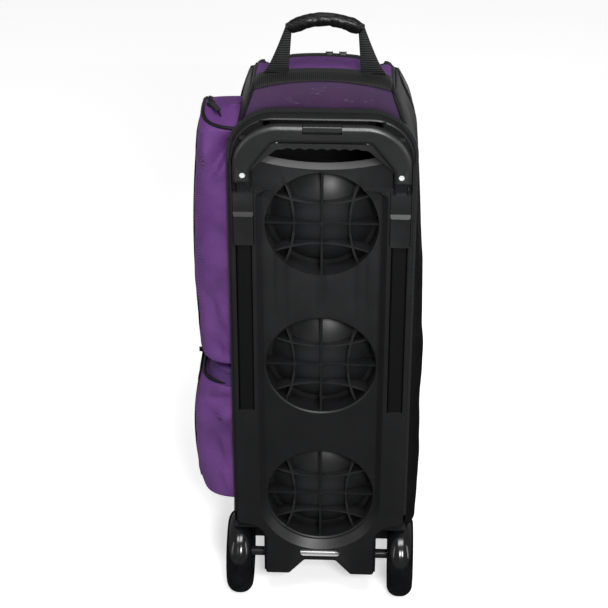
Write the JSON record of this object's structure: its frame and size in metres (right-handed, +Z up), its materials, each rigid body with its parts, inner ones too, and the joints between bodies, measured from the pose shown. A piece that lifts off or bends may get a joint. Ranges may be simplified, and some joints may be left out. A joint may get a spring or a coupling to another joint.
{
  "type": "three-ball roller bag",
  "caption": "Tall soft-sided roller bag on a moulded back frame, with stacked ball cups, a telescoping handle, wheels, zipped front door and side pockets.",
  "frame": {"origin": "bottom centre of the whole bag's box, on the floor that the wheels and the front feet stand on", "axes": "+X across the bag to the right seen from the back frame, +Y from the back frame to the front door, +Z up"},
  "size_m": [0.3255, 0.2816, 0.9271],
  "materials": {
    "frame_plastic": "satin textured black",
    "cup_plastic": "satin black",
    "base_plastic": "matte black",
    "binding": "ribbed black tape",
    "grip_plastic": "satin black",
    "button_plastic": "satin black",
    "guide_plastic": "semi-gloss black",
    "bush_plastic": "matte",
    "outer_tube": "black anodised",
    "inner_tube": "black anodised",
    "steel": "plain",
    "screws": "plain",
    "sleeve_plastic": "semi-gloss black",
    "urethane": "smoky translucent urethane",
    "hub_plastic": "satin dark violet",
    "bearing_steel": "shielded",
    "foot_rubber": "matte",
    "purple_fabric": "woven twill, purple",
    "black_fabric": "woven, black",
    "divider_foam": "padded, black",
    "zip_tape": "coil zip tape, black",
    "zip_metal": "black",
    "zip_pull": "moulded cord end, black",
    "webbing": "ribbed black webbing",
    "handle_wrap": "padded wrap, slightly glossy black"
  },
  "bodies": {
    "bag": {"axle_nuts": "steel", "axle_rod": "steel", "axle_sleeves": "sleeve_plastic", "axle_washers": "steel", "back_top_panel": "purple_fabric", "ball_cup_bottom": "cup_plastic", "ball_cup_middle": "cup_plastic", "ball_cup_top": "cup_plastic", "ball_dividers": "divider_foam", "base_frame": "frame_plastic", "base_tray": "base_plastic", "foot_screws": "screws", "frame_binding": "binding", "front_feet": "foot_rubber", "guide_block_left": "guide_plastic", "guide_block_right": "guide_plastic", "lower_pocket": "purple_fabric", "main_zip_tape": "zip_tape", "outer_tube_left": "outer_tube", "outer_tube_right": "outer_tube", "rail_screws": "screws", "roof_panel": "purple_fabric", "side_panel_left": "black_fabric", "side_panel_right": "black_fabric", "tube_plugs": "bush_plastic", "upper_pocket": "purple_fabric", "webbing_band": "webbing"},
    "wheel_left": {"tyre_left": "urethane", "hub_left": "hub_plastic", "bearings_left": "bearing_steel"},
    "wheel_right": {"tyre_right": "urethane", "hub_right": "hub_plastic", "bearings_right": "bearing_steel"},
    "pull_handle": {"inner_tube_left": "inner_tube", "inner_tube_right": "inner_tube", "grip_outer_shell": "grip_plastic", "grip_inner_shell": "grip_plastic", "grip_screws": "screws", "tube_bushes": "bush_plastic", "button_springs": "steel"},
    "button": {"release_button": "button_plastic", "push_rods": "steel"},
    "pin_left": {"lock_pin_left": "steel"},
    "pin_right": {"lock_pin_right": "steel"},
    "front_door": {"front_door_panel": "purple_fabric", "door_zip_tape": "zip_tape"},
    "main_slider_left": {"main_zip_slider_left": "zip_metal"},
    "main_slider_right": {"main_zip_slider_right": "zip_metal"},
    "main_pull_left": {"main_zip_pull_left": "zip_pull"},
    "main_pull_right": {"main_zip_pull_right": "zip_pull"},
    "carry_handle": {"carry_handle_webbing": "webbing", "carry_handle_wrap": "handle_wrap"},
    "upper_flap": {"upper_pocket_flap": "purple_fabric"},
    "lower_flap": {"lower_pocket_flap": "purple_fabric"},
    "upper_slider": {"upper_zip_slider": "zip_metal"},
    "upper_pull": {"upper_zip_pull": "zip_pull"},
    "lower_slider": {"lower_zip_slider": "zip_metal"},
    "lower_pull": {"lower_zip_pull": "zip_pull"}
  },
  "joints": [
    {"name": "wheel_left_spin", "type": "hinge", "parent": "bag", "child": "wheel_left", "pos_m": [-0.101, -0.07725, 0.0635], "axis": [1, 0, 0], "continuous": true},
    {"name": "wheel_right_spin", "type": "hinge", "parent": "bag", "child": "wheel_right", "pos_m": [0.14, -0.07725, 0.0635], "axis": [1, 0, 0], "continuous": true},
    {"name": "handle_slide", "type": "slide", "parent": "bag", "child": "pull_handle", "axis": [0, 0, 1], "range_m": [0, 0.3]},
    {"name": "button_press", "type": "slide", "parent": "pull_handle", "child": "button", "axis": [0, 0, -1], "range_m": [0, 0.003], "stiffness_N_per_m": 1500, "springref_m": -0.002, "deforming": ["button_springs"]},
    {"name": "pin_left_slide", "type": "slide", "parent": "pull_handle", "child": "pin_left", "axis": [1, 0, 0], "range_m": [0, 0.003]},
    {"name": "pin_right_slide", "type": "slide", "parent": "pull_handle", "child": "pin_right", "axis": [-1, 0, 0], "range_m": [0, 0.003]},
    {"name": "door_hinge", "type": "hinge", "parent": "bag", "child": "front_door", "pos_m": [0.0195, 0.14075, 0.089], "axis": [-1, 0, 0], "range_deg": [0, 90]},
    {"name": "main_slider_left_slide", "type": "slide", "parent": "front_door", "child": "main_slider_left", "axis": [-1, 0, 0], "range_m": [0, 0.08]},
    {"name": "main_slider_right_slide", "type": "slide", "parent": "front_door", "child": "main_slider_right", "axis": [1, 0, 0], "range_m": [0, 0.056]},
    {"name": "main_pull_left_hinge", "type": "hinge", "parent": "main_slider_left", "child": "main_pull_left", "pos_m": [0.0255, -0.00349, 0.84474], "axis": [1, 0, 0], "range_deg": [0, 150]},
    {"name": "main_pull_right_hinge", "type": "hinge", "parent": "main_slider_right", "child": "main_pull_right", "pos_m": [0.0435, -0.00349, 0.84474], "axis": [1, 0, 0], "range_deg": [0, 150]},
    {"name": "carry_handle_swing", "type": "hinge", "parent": "bag", "child": "carry_handle", "pos_m": [0.0195, -0.07425, 0.8499], "axis": [1, 0, 0], "range_deg": [-80, 80]},
    {"name": "upper_flap_hinge", "type": "hinge", "parent": "bag", "child": "upper_flap", "pos_m": [-0.1575, 0.04575, 0.585], "axis": [0, 0, -1], "range_deg": [0, 80]},
    {"name": "lower_flap_hinge", "type": "hinge", "parent": "bag", "child": "lower_flap", "pos_m": [-0.1615, 0.04575, 0.278], "axis": [0, 0, -1], "range_deg": [0, 80]},
    {"name": "upper_slider_slide", "type": "slide", "parent": "bag", "child": "upper_slider", "axis": [-0.4226, 0.9063, 0], "range_m": [0, 0.02]},
    {"name": "upper_pull_hinge", "type": "hinge", "parent": "upper_slider", "child": "upper_pull", "pos_m": [-0.1305, -0.04225, 0.7865], "axis": [-0.9063, -0.4226, 0], "range_deg": [0, 150]},
    {"name": "lower_slider_slide", "type": "slide", "parent": "bag", "child": "lower_slider", "axis": [0, 1, 0], "range_m": [0, 0.06]},
    {"name": "lower_pull_hinge", "type": "hinge", "parent": "lower_slider", "child": "lower_pull", "pos_m": [-0.1473, -0.01825, 0.384], "axis": [0, 0, 1], "range_deg": [-65, 85]}
  ],
  "couplings": [
    {"joint": "pin_left_slide", "follows": "button_press", "ratio": 1},
    {"joint": "pin_right_slide", "follows": "button_press", "ratio": 1}
  ]
}
